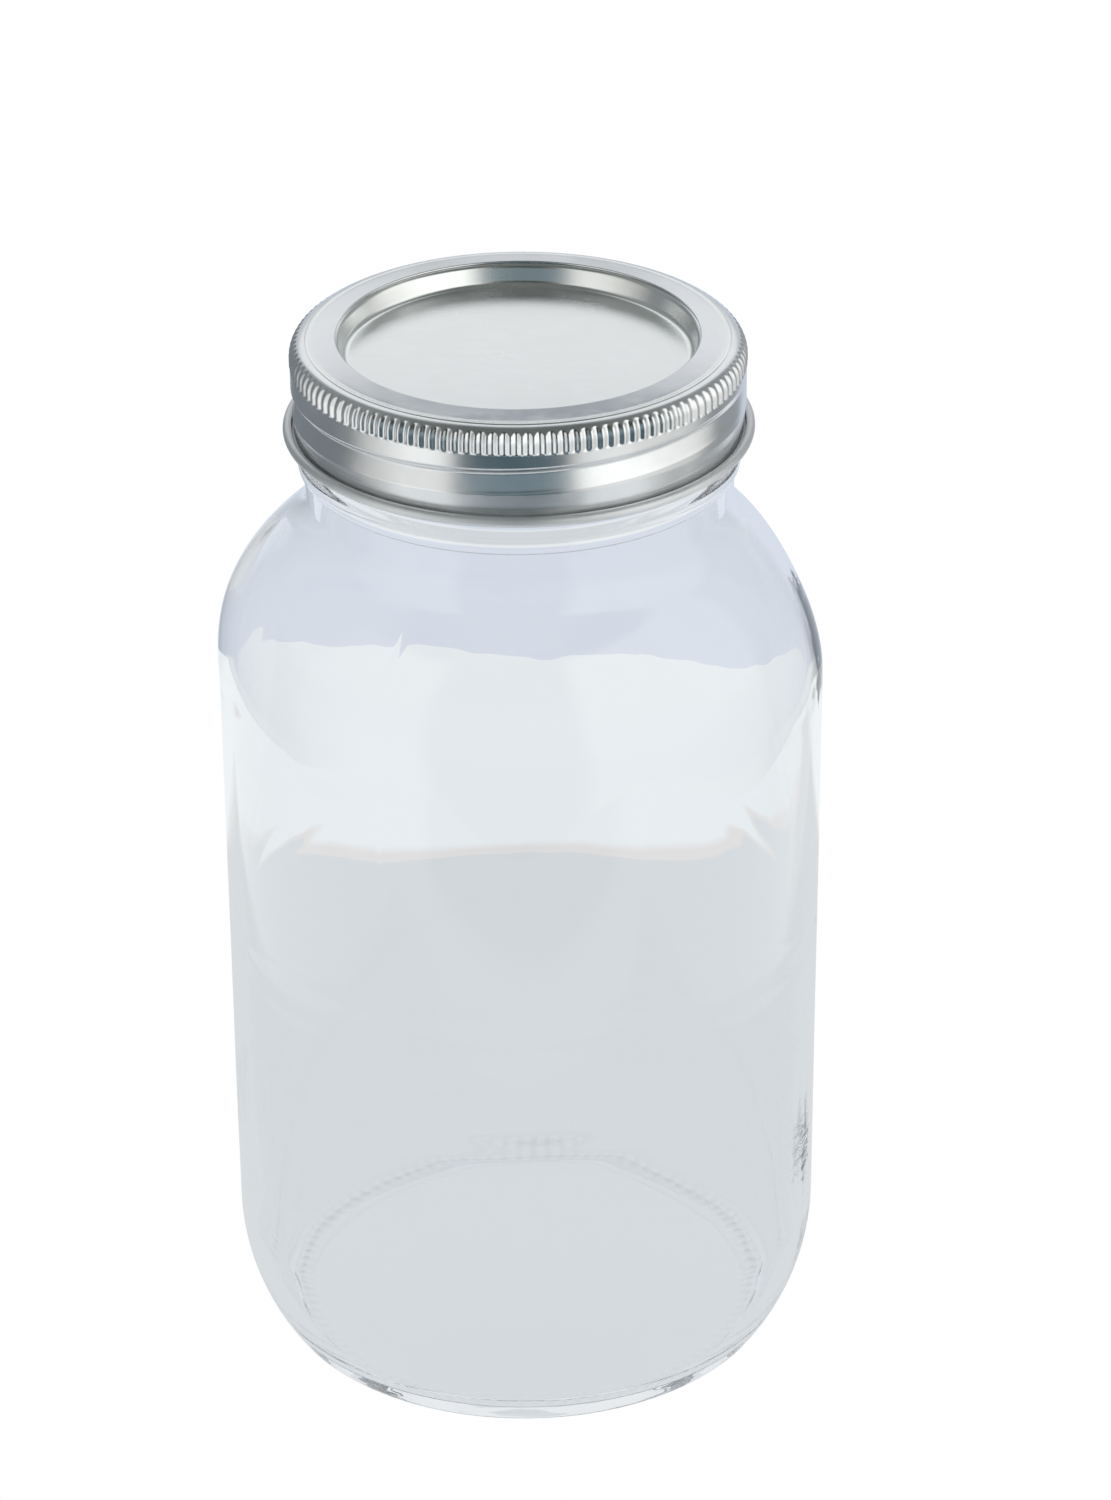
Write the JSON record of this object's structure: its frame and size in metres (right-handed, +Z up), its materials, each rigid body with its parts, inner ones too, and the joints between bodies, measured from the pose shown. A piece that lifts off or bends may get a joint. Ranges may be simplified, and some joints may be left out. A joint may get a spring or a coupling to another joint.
{
  "type": "mason jar",
  "caption": "Clear glass canning jar with rounded shoulders, a helical neck thread, and a two-piece lid of flat metal disc with bonded seal and knurled screw band.",
  "frame": {"origin": "centre of the ring that the jar stands on", "axes": "+Z up along the jar's axis towards the lid; +X to the viewer's right when the jar is seen from the front (-Y side)"},
  "size_m": [0.0978, 0.0978, 0.1778],
  "materials": {
    "clear_glass": "clear, smooth, faintly blue-grey soda-lime glass",
    "disc_tinplate": "satin tinplate, fine rolled grain",
    "seal_compound": "soft matte plastisol",
    "band_tinplate": "semi-bright tinplate, drawn and rolled"
  },
  "bodies": {
    "jar": {"glass_jar": "clear_glass"},
    "lid": {"lid_disc": "disc_tinplate", "sealing_ring": "seal_compound"},
    "band": {"screw_band": "band_tinplate"}
  },
  "joints": [
    {"name": "lid_lift", "type": "slide", "parent": "jar", "child": "lid", "axis": [0, 0, 1], "range_m": [0, 0.01906]},
    {"name": "band_turn", "type": "hinge", "parent": "lid", "child": "band", "pos_m": [0, 0, 0.17], "axis": [0, 0, 1], "range_deg": [0, 1080]}
  ],
  "couplings": [
    {"joint": "lid_lift", "follows": "band_turn", "m_per_rad": 0.0010106}
  ]
}
